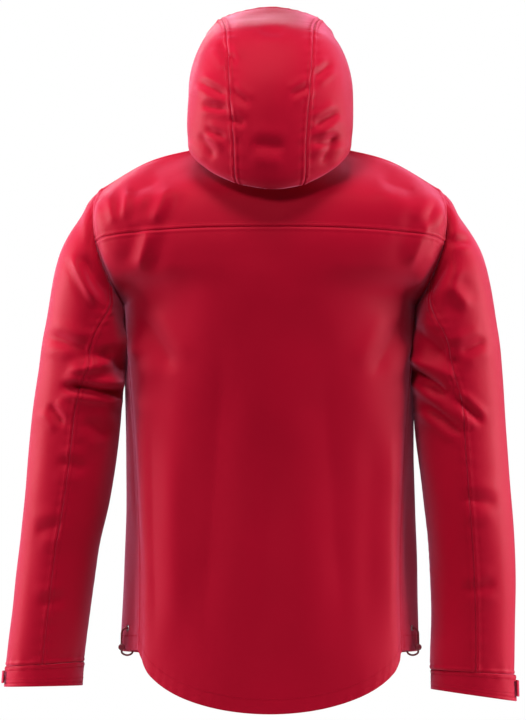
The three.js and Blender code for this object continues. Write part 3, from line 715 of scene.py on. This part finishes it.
free = ("open", 0, ())
panel("back_panel_cloth", back, (0, 1), (0, body["yokeSeam"]), ["back_panel", "hem_facing_back"],
      {"left": ("sewn", 0.5, ()), "right": ("sewn", 0.5, ()), "bottom": ("open", 0.6, (20,)),
       "top": ("joined", 0.5, ())}, turned=("bottom", 18, 2.3))
panel("back_yoke_cloth", back, (0, 1), (body["yokeSeam"], 1), ["back_yoke"],
      {"left": ("sewn", 0.5, ()), "right": ("sewn", 0.5, ()), "bottom": ("joined", 0.5, (1.8, 6.4)),
       "top": ("sewn", 0.2, ())}, spacing=4)

pocket = {"u": 0.5, "from": 0.13, "to": 0.275, "half": 4.0, "inset": 9.0}


def pocketHole():
    # Grid lines run along the slot's edges, and the cells inside them are left out.
    def limits(width, height):
        middle = pocket["u"] * width
        low, high = pocket["from"] * height + pocket["inset"], pocket["to"] * height - pocket["inset"]
        return middle - pocket["half"], middle + pocket["half"], low, high

    def mask(across, along, width, height, extra):
        left, right, low, high = limits(width, height)
        x = (across[1:] + across[:-1]) / 2 * width
        z = (along[1:] + along[:-1]) / 2 * height
        cells = ((z > low) & (z < high))[:, None] & ((x > left) & (x < right))[None]
        return np.concatenate([np.zeros((len(cells), extra), bool), cells], axis=1)
    return {"across": lambda width: limits(width, 1000)[:2], "mask": mask,
            "along": lambda height: limits(1000, height)[2:]}


def zipFold(place, normal, metres, sign):
    # The front edge goes on over the zip tape, just ahead of it, and ends in a soft lip.
    edge = place[:, :1]
    more = np.repeat(edge, len(zipLip), axis=1)
    more[..., 0] = sign * zipLip[:, 0]
    more[..., 1] = edge[..., 1] + zipLip[:, 1]
    shift = np.stack([(zipLip[:, 0] - body["zipEdge"]) / 1000, 0 * zipLip[:, 0]], axis=-1)
    moreNormals = np.repeat(normal[:, :1], len(zipLip), 1)
    return (np.concatenate([more, place], axis=1), np.concatenate([moreNormals, normal], axis=1),
            np.concatenate([metres[:, :1] + shift, metres], axis=1))


for side, sign in (("left", 1), ("right", -1)):
    panel(f"front_panel_{side}_cloth", front, (0, 1), (0, 1), [f"front_panel_{side}", f"hem_facing_{side}"],
          {"left": ("pinned", 0, (2.0,)), "right": ("sewn", 0.5, ()), "bottom": ("open", 0.6, (20,)),
           "top": ("sewn", 0.3, (6.4,))}, sign=sign, turned=("bottom", 18, 2.3), extraColumns=zipFold,
          hole=pocketHole())
print("body panels made")

panel("collar_cloth", collarSurface, (0, 1), (0, 1), ["collar"],
      {"left": free, "right": free, "bottom": free, "top": ("open", 0, (5,))}, folds=(), swell=(60, 0.5),
      spacing=5, turned=("top", 12, 1.6))
hoodSeam, brim = hood["sideSeam"], hood["brim"]
for side, u, edges in (
    ("side_left", (0, hoodSeam), {"left": free, "right": ("joined", 1.4, (1.8, 6.4))}),
    ("centre", (hoodSeam, 1 - hoodSeam), {"left": ("joined", 1.4, ()), "right": ("joined", 1.4, ())}),
    ("side_right", (1 - hoodSeam, 1), {"left": ("joined", 1.4, (1.8, 6.4)), "right": free}),
):
    panel(f"hood_{side}_cloth", hoodSurface, u, (0, brim), [f"hood_{side}"],
          {**edges, "bottom": free, "top": ("joined", 0.8, (6.4,) if side == "centre" else ())},
          stitchSet="hood", spacing=4, swell=(90, 1.1), edgeFade=14)
panel("hood_brim_cloth", hoodSurface, (0, 1), (brim, 1), ["hood_brim"],
      {"left": free, "right": free, "bottom": ("joined", 0.8, (1.8,)), "top": ("open", 0.3, (12,))},
      stitchSet="hood", spacing=4, swell=(90, 0.9), edgeFade=14, turned=("top", 10, 1.8))


band = {"collarEnd": np.array([14, -111.2, 747]), "tuck": 5, "columns": 260, "levels": 13, "wall": 0.0007}


def neckBand():
    # The hood's foot and the neckline are sewn together: a narrow band runs from just under the neckline
    # to just inside the hood's edge, each foot point joined to the nearest neckline point in plan.
    t = np.linspace(0, 1, 40)
    left = hoodSurface(0 * t, 1 - t)
    run = band["collarEnd"] + (left[0] - band["collarEnd"]) * np.linspace(0, 0.9, 9)[:, None]
    left = np.concatenate([run, left])
    foot = np.concatenate([left, hoodSurface(t, 0 * t)[1:-1], (left * (-1, 1, 1))[::-1]])
    dense = np.linspace(0, 1, 400)
    ahead = spline(neckFront, dense)
    line = np.concatenate([ahead, spline(neckBack, dense), (ahead * (-1, 1, 1))[::-1]])
    apart = np.linalg.norm(foot[:, None, :2] - line[None, :, :2], axis=-1)
    near = line[np.maximum.accumulate(apart.argmin(axis=1))]
    smooth = np.ones(7) / 7
    padded = np.concatenate([np.repeat(near[:1], 3, 0), near, np.repeat(near[-1:], 3, 0)])
    near = np.stack([np.convolve(padded[:, k], smooth, "valid") for k in range(3)], axis=-1)
    aside = (foot - [0, -10, 0]) * (1, 1, 0)
    aside /= np.linalg.norm(aside, axis=-1, keepdims=True)
    rows = [near - aside * 1.5 - [0, 0, band["tuck"]], near + aside * 0.4 + [0, 0, 0.5],
            near * 0.5 + foot * 0.5 + aside * 0.6, foot - aside * 0.4 + [0, 0, 0.4],
            foot - aside * 1.6 + [0, 0, band["tuck"]]]
    u, v = np.meshgrid(np.linspace(0, 1, band["columns"]), np.linspace(0, 1, band["levels"]))
    place = loft([list(row) for row in rows])(u, v)
    metres = np.stack([lengthsAlong(place, 1), lengthsAlong(place, 0)], axis=-1) / 1000
    piece = gridPiece("neck_seam_band", place, metres, [shellCloth, liningCloth])
    thicken(piece, band["wall"], 1)


neckBand()
print("hood made")

# In mm: where the arm's inner side swells against the body, and how the sleeve head rounds out.
armSwell = {"height": 508, "spread": 88, "rise": 13}
sleeveHead = {"in": 20, "spread": 16, "rise": 4.2}


def armRest(place, normal, distance):
    # The upper arm's inner side swells against the body, and the sleeve head rounds out past its seam.
    aside = normal[..., 0] * np.sign(place[..., 0])
    top = distance["top"]
    swell = armSwell["rise"] * bell(place[..., 2] - armSwell["height"], armSwell["spread"])
    head = sleeveHead["rise"] * bell(top - sleeveHead["in"], sleeveHead["spread"])
    return swell * ease(-aside, 0.1, 0.9) * ease(top, 0, 12) + head * ease(aside, 0, 0.7) * ease(top, 0, 9)


for side, sign in (("left", 1), ("right", -1)):
    arm = loft([sleeveRing(*ring) for ring in sleeveRings[side]] + [armholeRing], loop=True)
    under, cuffTop = sleeve["underSeam"], sleeve["cuffTop"]
    stitchSet = f"sleeve_{side}"
    armCut = {"sign": sign, "stitchSet": stitchSet, "spacing": 4.2, "swell": (120, 1.8), "shape": armRest}
    panel(f"sleeve_outer_{side}_cloth", arm, (under - 1, backSeam), (cuffTop, 1), [f"sleeve_outer_{side}"],
          {"left": ("joined", 0.4, ()), "right": ("joined", 0.9, (1.8, 6.4)), "bottom": ("joined", 0.8, ()),
           "top": ("sewn", 0.8, (6.4,))}, **armCut)
    panel(f"sleeve_under_{side}_cloth", arm, (backSeam, under), (cuffTop, 1), [f"sleeve_under_{side}"],
          {"left": ("joined", 0.9, ()), "right": ("joined", 0.4, ()), "bottom": ("joined", 0.8, ()),
           "top": ("sewn", 0.6, ())}, **armCut)
    panel(f"cuff_{side}_cloth", arm, (0, 1), (0, cuffTop), [f"cuff_{side}"],
          {"left": free, "right": free, "bottom": ("open", 0.3, (4, 10)),
           "top": ("joined", 0.8, (1.8, 6.4))},
          sign=sign, stitchSet=stitchSet, spacing=3.5, swell=(60, 0.35), turned=("bottom", 12, 2.0),
          wrap=True)
print("sleeves made")


# One short thread bead stands for each stitch. Sizes are in mm.
stitch = {"step": 3.6, "length": 2.5, "radius": 0.34, "flat": 0.7, "sides": 6, "lift": 0.16, "look": 1.2}


def tubeFaces(sides, rings):
    # Quads between neighbouring rings of a six-sided tube, and two quads to close each end.
    k = np.arange(sides)
    bands = [np.stack([b * sides + k, b * sides + (k + 1) % sides, (b + 1) * sides + (k + 1) % sides,
                       (b + 1) * sides + k], axis=-1) for b in range(rings - 1)]
    last = (rings - 1) * sides
    caps = np.array([[3, 2, 1, 0], [5, 4, 3, 0], [last, last + 1, last + 2, last + 3],
                     [last, last + 3, last + 4, last + 5]])
    return np.concatenate(bands + [caps])


def repeated(one, pointsEach, count):
    # The faces of count copies of one shape, whose points follow each other.
    return (one[None] + pointsEach * np.arange(count)[:, None, None]).reshape(-1, 4)


def beads(name, lines, material):
    # Stations one step apart by arc length; each bead is a six-sided tube along the line, pinched at both
    # ends and flattened along the cloth's normal.
    middles, tangents, normals = [], [], []
    for line, normal in lines:
        far = np.concatenate([[0], np.cumsum(np.linalg.norm(np.diff(line, axis=0), axis=-1))])
        stations = np.arange(stitch["step"], far[-1] - stitch["step"], stitch["step"])
        sample = [np.interp(stations, far, line[:, k]) for k in range(3)]
        ahead = [np.interp(stations + stitch["look"], far, line[:, k]) for k in range(3)]
        middles.append(np.stack(sample, axis=-1))
        tangents.append(np.stack(ahead, axis=-1) - middles[-1])
        normals.append(np.stack([np.interp(stations, far, normal[:, k]) for k in range(3)], axis=-1))
    middle, tangent, normal = (np.concatenate(a) for a in (middles, tangents, normals))
    tangent /= np.maximum(np.linalg.norm(tangent, axis=-1, keepdims=True), 1e-9)
    sideways = np.cross(tangent, normal)
    sideways /= np.maximum(np.linalg.norm(sideways, axis=-1, keepdims=True), 1e-9)
    up = np.cross(sideways, tangent)
    middle = middle + up * stitch["lift"]
    angle = np.arange(stitch["sides"]) / stitch["sides"] * turn
    rings = []
    for along, size in ((-0.5, 0.3), (-0.32, 1), (0.32, 1), (0.5, 0.3)):
        circle = stitch["radius"] * size * (np.cos(angle)[:, None] * sideways[:, None]
                                            + stitch["flat"] * np.sin(angle)[:, None] * up[:, None])
        rings.append(middle[:, None] + along * stitch["length"] * tangent[:, None] + circle)
    points = np.stack(rings, axis=1).reshape(-1, 3)
    one = tubeFaces(stitch["sides"], len(rings))[:, ::-1]
    faces = repeated(one, len(rings) * stitch["sides"], len(middle))
    print(name, len(middle), "stitches")
    return addMesh(name, toFrame(points), faces, [material])


for name, lines in stitchSets.items():
    beads(f"stitching_{name}", lines, threadCloth)


def rounded(node, name, material, ride, width=0.00025, segments=2, angle=35):
    copy = nodes[node].data.copy()
    copy.name = name
    shape = bmesh.new()
    shape.from_mesh(copy)
    bmesh.ops.remove_doubles(shape, verts=shape.verts, dist=2e-6)
    bmesh.ops.dissolve_limit(shape, angle_limit=math.radians(1.5), verts=shape.verts, edges=shape.edges)
    shape.to_mesh(copy)
    shape.free()
    copy.materials.clear()
    copy.materials.append(material)
    piece = bpy.data.objects.new(name, copy)
    bpy.context.collection.objects.link(piece)
    bevel = piece.modifiers.new("edges", "BEVEL")
    bevel.width = width
    bevel.segments = segments
    bevel.limit_method = "ANGLE"
    bevel.angle_limit = math.radians(angle)
    bevel.harden_normals = True
    copy.polygons.foreach_set("use_smooth", np.ones(len(copy.polygons), bool))
    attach(piece, ride)
    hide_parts(node)
    return piece


rounded("zip_slider", "front_slider", lacquer, "front_zip_slider")
rounded("zip_puller", "front_puller", tapeCloth, "front_zip_puller", 0.0004)
rounded("zip_box", "front_zip_box", coilPlastic, shellBody, 0.0004)
rounded("zip_insertion_pin", "front_zip_pin", coilPlastic, shellBody, 0.0004)
rounded("hanger_loop", "hanger_strap", tapeCloth, shellBody, 0.0003)
rounded("storm_flap", "storm_flap_cloth", liningCloth, shellBody, 0.0003)
rounded("chin_guard", "chin_guard_cloth", liningCloth, shellBody, 0.0005)
for side in ("left", "right"):
    rounded(f"zip_tape_{side}", f"front_tape_{side}", tapeCloth, shellBody, 0.0002)
    rounded(f"zip_top_stop_{side}", f"front_stop_{side}", steel, shellBody, 0.0004)
    rounded(f"pocket_zip_tape_{side}", f"pocket_tape_{side}", tapeCloth, shellBody, 0.0002)
    rounded(f"pocket_{side}_slider", f"pocket_slider_{side}", lacquer,
            f"pocket_{side}_zip_slider")
    rounded(f"pocket_{side}_puller", f"pocket_pull_{side}", tapeCloth,
            f"pocket_{side}_zip_puller", 0.0004)
    rounded(f"pocket_bag_{side}", f"pocket_lining_{side}", liningCloth, shellBody, 0.001, 3)
    rounded(f"cuff_loop_patch_{side}", f"loop_patch_{side}", pileCloth, shellBody, 0.0002)
    rounded(f"cuff_hook_patch_{side}", f"hook_patch_{side}", pileCloth, f"cuff_strap_{side}",
            0.0002)
    rounded(f"cuff_tab_{side}", f"tab_{side}", shellCloth, f"cuff_strap_{side}", 0.0006, 3)
    rounded(f"cord_lock_barrel_{side}", f"lock_barrel_{side}", lockPlastic,
            f"cord_lock_{side}", 0.0003)
    rounded(f"cord_lock_plunger_{side}", f"lock_button_{side}", lockPlastic,
            f"cord_lock_button_{side}", 0.0003)
    rounded(f"hem_eyelet_{side}", f"eyelet_{side}", steel, shellBody, 0.0005, 3)
    spring = rounded(f"cord_lock_spring_{side}", f"lock_spring_{side}", steel, f"cord_lock_{side}",
                     0.00005, 1)
    low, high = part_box(f"cord_lock_spring_{side}")
    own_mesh(spring)


# One loop of monofilament stands for each tooth. Sizes are in mm.
coil = {"step": 1.35, "radius": 0.52, "sides": 6}


def coilTeeth(name, start, up, ahead, length, sideSign, phase, replaced):
    # Each tooth is a bent bead: out from the tape, forward, and back over it, repeated along the zip.
    start, up, ahead = (np.asarray(a, float) for a in (start, up, ahead))
    sideways = np.cross(up, -ahead) * sideSign
    sideways /= np.linalg.norm(sideways)
    path = np.array([[3.2, 0.75], [1.6, 0.62], [0.85, 1.2], [1.0, 1.95], [1.9, 2.35], [3.1, 2.25]])
    size = np.array([0.7, 1, 1.15, 1.15, 1, 0.7]) * coil["radius"]
    count = int(length / coil["step"])
    stations = (np.arange(count) + phase) * coil["step"]
    angle = np.arange(coil["sides"]) / coil["sides"] * turn
    centre = path[:, :1] * sideways + path[:, 1:] * ahead
    direction = np.gradient(centre, axis=0)
    direction /= np.linalg.norm(direction, axis=-1, keepdims=True)
    around = np.cross(direction, up)
    ring = (np.cos(angle)[None, :, None] * around[:, None] + np.sin(angle)[None, :, None] * up * 0.95)
    tooth = centre[:, None] + ring * size[:, None, None]
    points = (start + stations[:, None, None, None] * up + tooth[None]).reshape(-1, 3)
    faces = repeated(tubeFaces(coil["sides"], len(path)), len(path) * coil["sides"], count)
    piece = addMesh(name, toFrame(points), faces, [coilPlastic])
    repair = bmesh.new()
    repair.from_mesh(piece.data)
    bmesh.ops.recalc_face_normals(repair, faces=repair.faces)
    repair.to_mesh(piece.data)
    repair.free()
    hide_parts(replaced)


zipBottom = np.array([0, body["leanBottom"], body["frontBottom"]], float)
zipTop = np.array([0, body["leanChin"], body["frontChin"]], float)
zipLength = float(np.linalg.norm(zipTop - zipBottom))
zipUp = (zipTop - zipBottom) / zipLength
zipAhead = np.cross(zipUp, (1, 0, 0))
zipAhead = zipAhead * (-1 if zipAhead[1] > 0 else 1)
for side, sideSign, phase in (("left", 1, 0.0), ("right", -1, 0.5)):
    coilTeeth(f"front_coil_{side}", zipBottom + zipUp * 12.6, zipUp, zipAhead, zipLength - 25, sideSign,
              phase, f"zip_coil_{side}")


def pocketAxis(sign):
    # The straight line of a pocket zip, between the two ends of its slot on the front surface, with the
    # direction out of the cloth at its middle.
    low, high = (front(np.array([pocket["u"]]), np.array([pocket[k]]))[0] for k in ("from", "to"))
    out = outward(front, np.array([pocket["u"]]), np.array([(pocket["from"] + pocket["to"]) / 2]))[0]
    low, high, out = (a * (sign, 1, 1) for a in (low, high, out))
    up = (high - low) / np.linalg.norm(high - low)
    sideways = np.cross(out, up) / np.linalg.norm(np.cross(out, up))
    ahead = np.cross(up, sideways)
    return low + ahead * 2.2, up, ahead, sideways, float(np.linalg.norm(high - low))


welt = {"inner": 4.7, "outer": 14.5, "lip": 1.1, "squareness": 1 / 6}


def pocketWelt(side, sign):
    # A soft frame over the zip tape: a rounded rectangle carried from its inner lip down to the cloth.
    base, up, ahead, sideways, length = pocketAxis(sign)
    profile = [(welt["inner"], -0.1), (welt["inner"] - 0.3, 0.5), (welt["inner"] + 0.5, welt["lip"]),
               (8.0, welt["lip"] + 0.1), (11.5, 0.9), (13.4, -0.1), (welt["outer"], -2.0)]
    angle = np.linspace(0, turn, 145)
    rows = []
    for half, rise in profile:
        tall = length / 2 - 5.0 + (half - welt["inner"]) * 0.9
        x = half * np.sign(np.cos(angle)) * np.abs(np.cos(angle)) ** welt["squareness"]
        z = tall * np.sign(np.sin(angle)) * np.abs(np.sin(angle)) ** welt["squareness"]
        rows.append(base + up * length / 2 + sideways * x[:, None] + up * z[:, None] + ahead * rise)
    place = np.stack(rows)
    metres = np.stack([np.broadcast_to(angle * 0.04, place.shape[:2]),
                       np.broadcast_to(np.arange(len(profile))[:, None] * 0.002, place.shape[:2])], axis=-1)
    piece = gridPiece(f"pocket_welt_{side}", place, metres, [shellCloth], False, True)
    repair = bmesh.new()
    repair.from_mesh(piece.data)
    repair.normal_update()
    if sum(face.normal.dot(ahead) for face in repair.faces) < 0:
        bmesh.ops.reverse_faces(repair, faces=repair.faces)
    repair.to_mesh(piece.data)
    repair.free()
    thicken(piece, 0.0006)


for side, sign in (("left", 1), ("right", -1)):
    base, up, ahead, sideways, length = pocketAxis(sign)
    for half, phase in ((1, 0.0), (-1, 0.5)):
        coilTeeth(f"pocket_coil_{side}_{'ab'[half < 0]}", base + up * 5, up, ahead, length - 10, half, phase,
                  f"pocket_zip_coil_{side}")
    pocketWelt(side, sign)
print("hardware made")

cord = {"diameter": 0.0028, "length": 0.069, "route": [
    (198.8, 12.2, 117.4), (202, 13.3, 117), (205.8, 12.6, 113), (206.6, 12, 106), (206.6, 12, 88),
    (205.4, 12, 82.4), (199, 12, 79.8), (192.6, 12, 82), (190.4, 12, 88), (190.4, 12, 96)]}
for side, sign in (("left", 1), ("right", -1)):
    line = toFrame(spline(np.array(cord["route"]) * (sign, 1, 1), np.linspace(0, 1, 73)))
    length = float(np.linalg.norm(np.diff(line, axis=0), axis=-1).sum())
    curve = bpy.data.curves.new(f"hem_cord_{side}_line", "CURVE")
    curve.dimensions = "3D"
    curve.bevel_depth = cord["diameter"] / 2
    curve.bevel_resolution = 3
    curve.use_fill_caps = True
    strand = curve.splines.new("POLY")
    strand.points.add(len(line) - 1)
    strand.points.foreach_set("co", np.concatenate([line, np.ones((len(line), 1))], axis=1).ravel())
    strand.use_smooth = True
    curve.materials.append(cordCloth)
    piece = bpy.data.objects.new(f"hem_elastic_{side}", curve)
    bpy.context.collection.objects.link(piece)
    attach(piece, shellBody)
    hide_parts(f"hem_cord_{side}")
    print("cord", side, round(length, 4))

studio = {"floor": -0.97, "floorHalf": 2.0, "fade": (0.5, 1.8), "world": 0.075}
floorMesh = bpy.data.meshes.new("floor")
half = studio["floorHalf"]
floorMesh.from_pydata([(-half, -half, studio["floor"]), (half, -half, studio["floor"]),
                       (half, half, studio["floor"]), (-half, half, studio["floor"])], [], [(0, 1, 2, 3)])
floorObject = bpy.data.objects.new("floor", floorMesh)
bpy.context.collection.objects.link(floorObject)
floorMaterial, floorTree, floorShader = principled("floorPaint", Roughness=0.9)
floorShader.inputs["Base Color"].default_value = (0.8, 0.8, 0.8, 1)
# The floor thins out to nothing before its edge
coordinates = floorTree.nodes.new("ShaderNodeTexCoord")
radius = floorTree.nodes.new("ShaderNodeVectorMath")
radius.operation = "LENGTH"
fade = floorTree.nodes.new("ShaderNodeMapRange")
fade.interpolation_type = "SMOOTHSTEP"
fade.inputs["From Min"].default_value, fade.inputs["From Max"].default_value = studio["fade"]
clear = floorTree.nodes.new("ShaderNodeBsdfTransparent")
blend = floorTree.nodes.new("ShaderNodeMixShader")
floorOut = next(node for node in floorTree.nodes if node.type == "OUTPUT_MATERIAL")
floorTree.links.new(coordinates.outputs["Object"], radius.inputs[0])
floorTree.links.new(radius.outputs["Value"], fade.inputs["Value"])
floorTree.links.new(fade.outputs["Result"], blend.inputs[0])
floorTree.links.new(floorShader.outputs[0], blend.inputs[1])
floorTree.links.new(clear.outputs[0], blend.inputs[2])
floorTree.links.new(blend.outputs[0], floorOut.inputs["Surface"])
floorMesh.materials.append(floorMaterial)

world = bpy.data.worlds.new("studio")
bpy.context.scene.world = world
world.use_nodes = True
worldTree = world.node_tree
worldTree.nodes.clear()
seen = worldTree.nodes.new("ShaderNodeBackground")
seen.inputs["Color"].default_value = (1, 1, 1, 1)
given = worldTree.nodes.new("ShaderNodeBackground")
given.inputs["Color"].default_value = (1, 0.99, 0.98, 1)
given.inputs["Strength"].default_value = studio["world"]
mix = worldTree.nodes.new("ShaderNodeMixShader")
rays = worldTree.nodes.new("ShaderNodeLightPath")
out = worldTree.nodes.new("ShaderNodeOutputWorld")
worldTree.links.new(rays.outputs["Is Camera Ray"], mix.inputs[0])
worldTree.links.new(given.outputs[0], mix.inputs[1])
worldTree.links.new(seen.outputs[0], mix.inputs[2])
worldTree.links.new(mix.outputs[0], out.inputs[0])

# Name, place, size across and up, watts, and the point it faces.
lamps = [
    ("side_left", (2.3, -0.5, 0.1), (0.4, 1.4), 84, (0.25, 0, -0.3)),
    ("side_right", (-2.3, -0.3, -0.1), (0.4, 1.4), 80, (-0.25, 0, -0.3)),
    ("behind", (1.0, 2.3, 1.5), (0.6, 0.6), 34, (0, 0, -0.05)),
    ("above", (0.1, 0.7, 1.8), (0.8, 0.5), 36, (0, 0, 0.1)),
    ("front_fill", (0.5, -3.2, 0.9), (1.4, 1.4), 42, (0, 0, -0.3)),
]
for name, place, size, watts, aim in lamps:
    light = bpy.data.lights.new(name, "AREA")
    light.shape = "RECTANGLE"
    light.size, light.size_y = size
    light.energy = watts
    lamp = bpy.data.objects.new(name, light)
    direction = Vector(aim) - Vector(place)
    lamp.location = place
    lamp.rotation_euler = direction.to_track_quat("-Z", "Z").to_euler()
    bpy.context.collection.objects.link(lamp)
print("stage made")
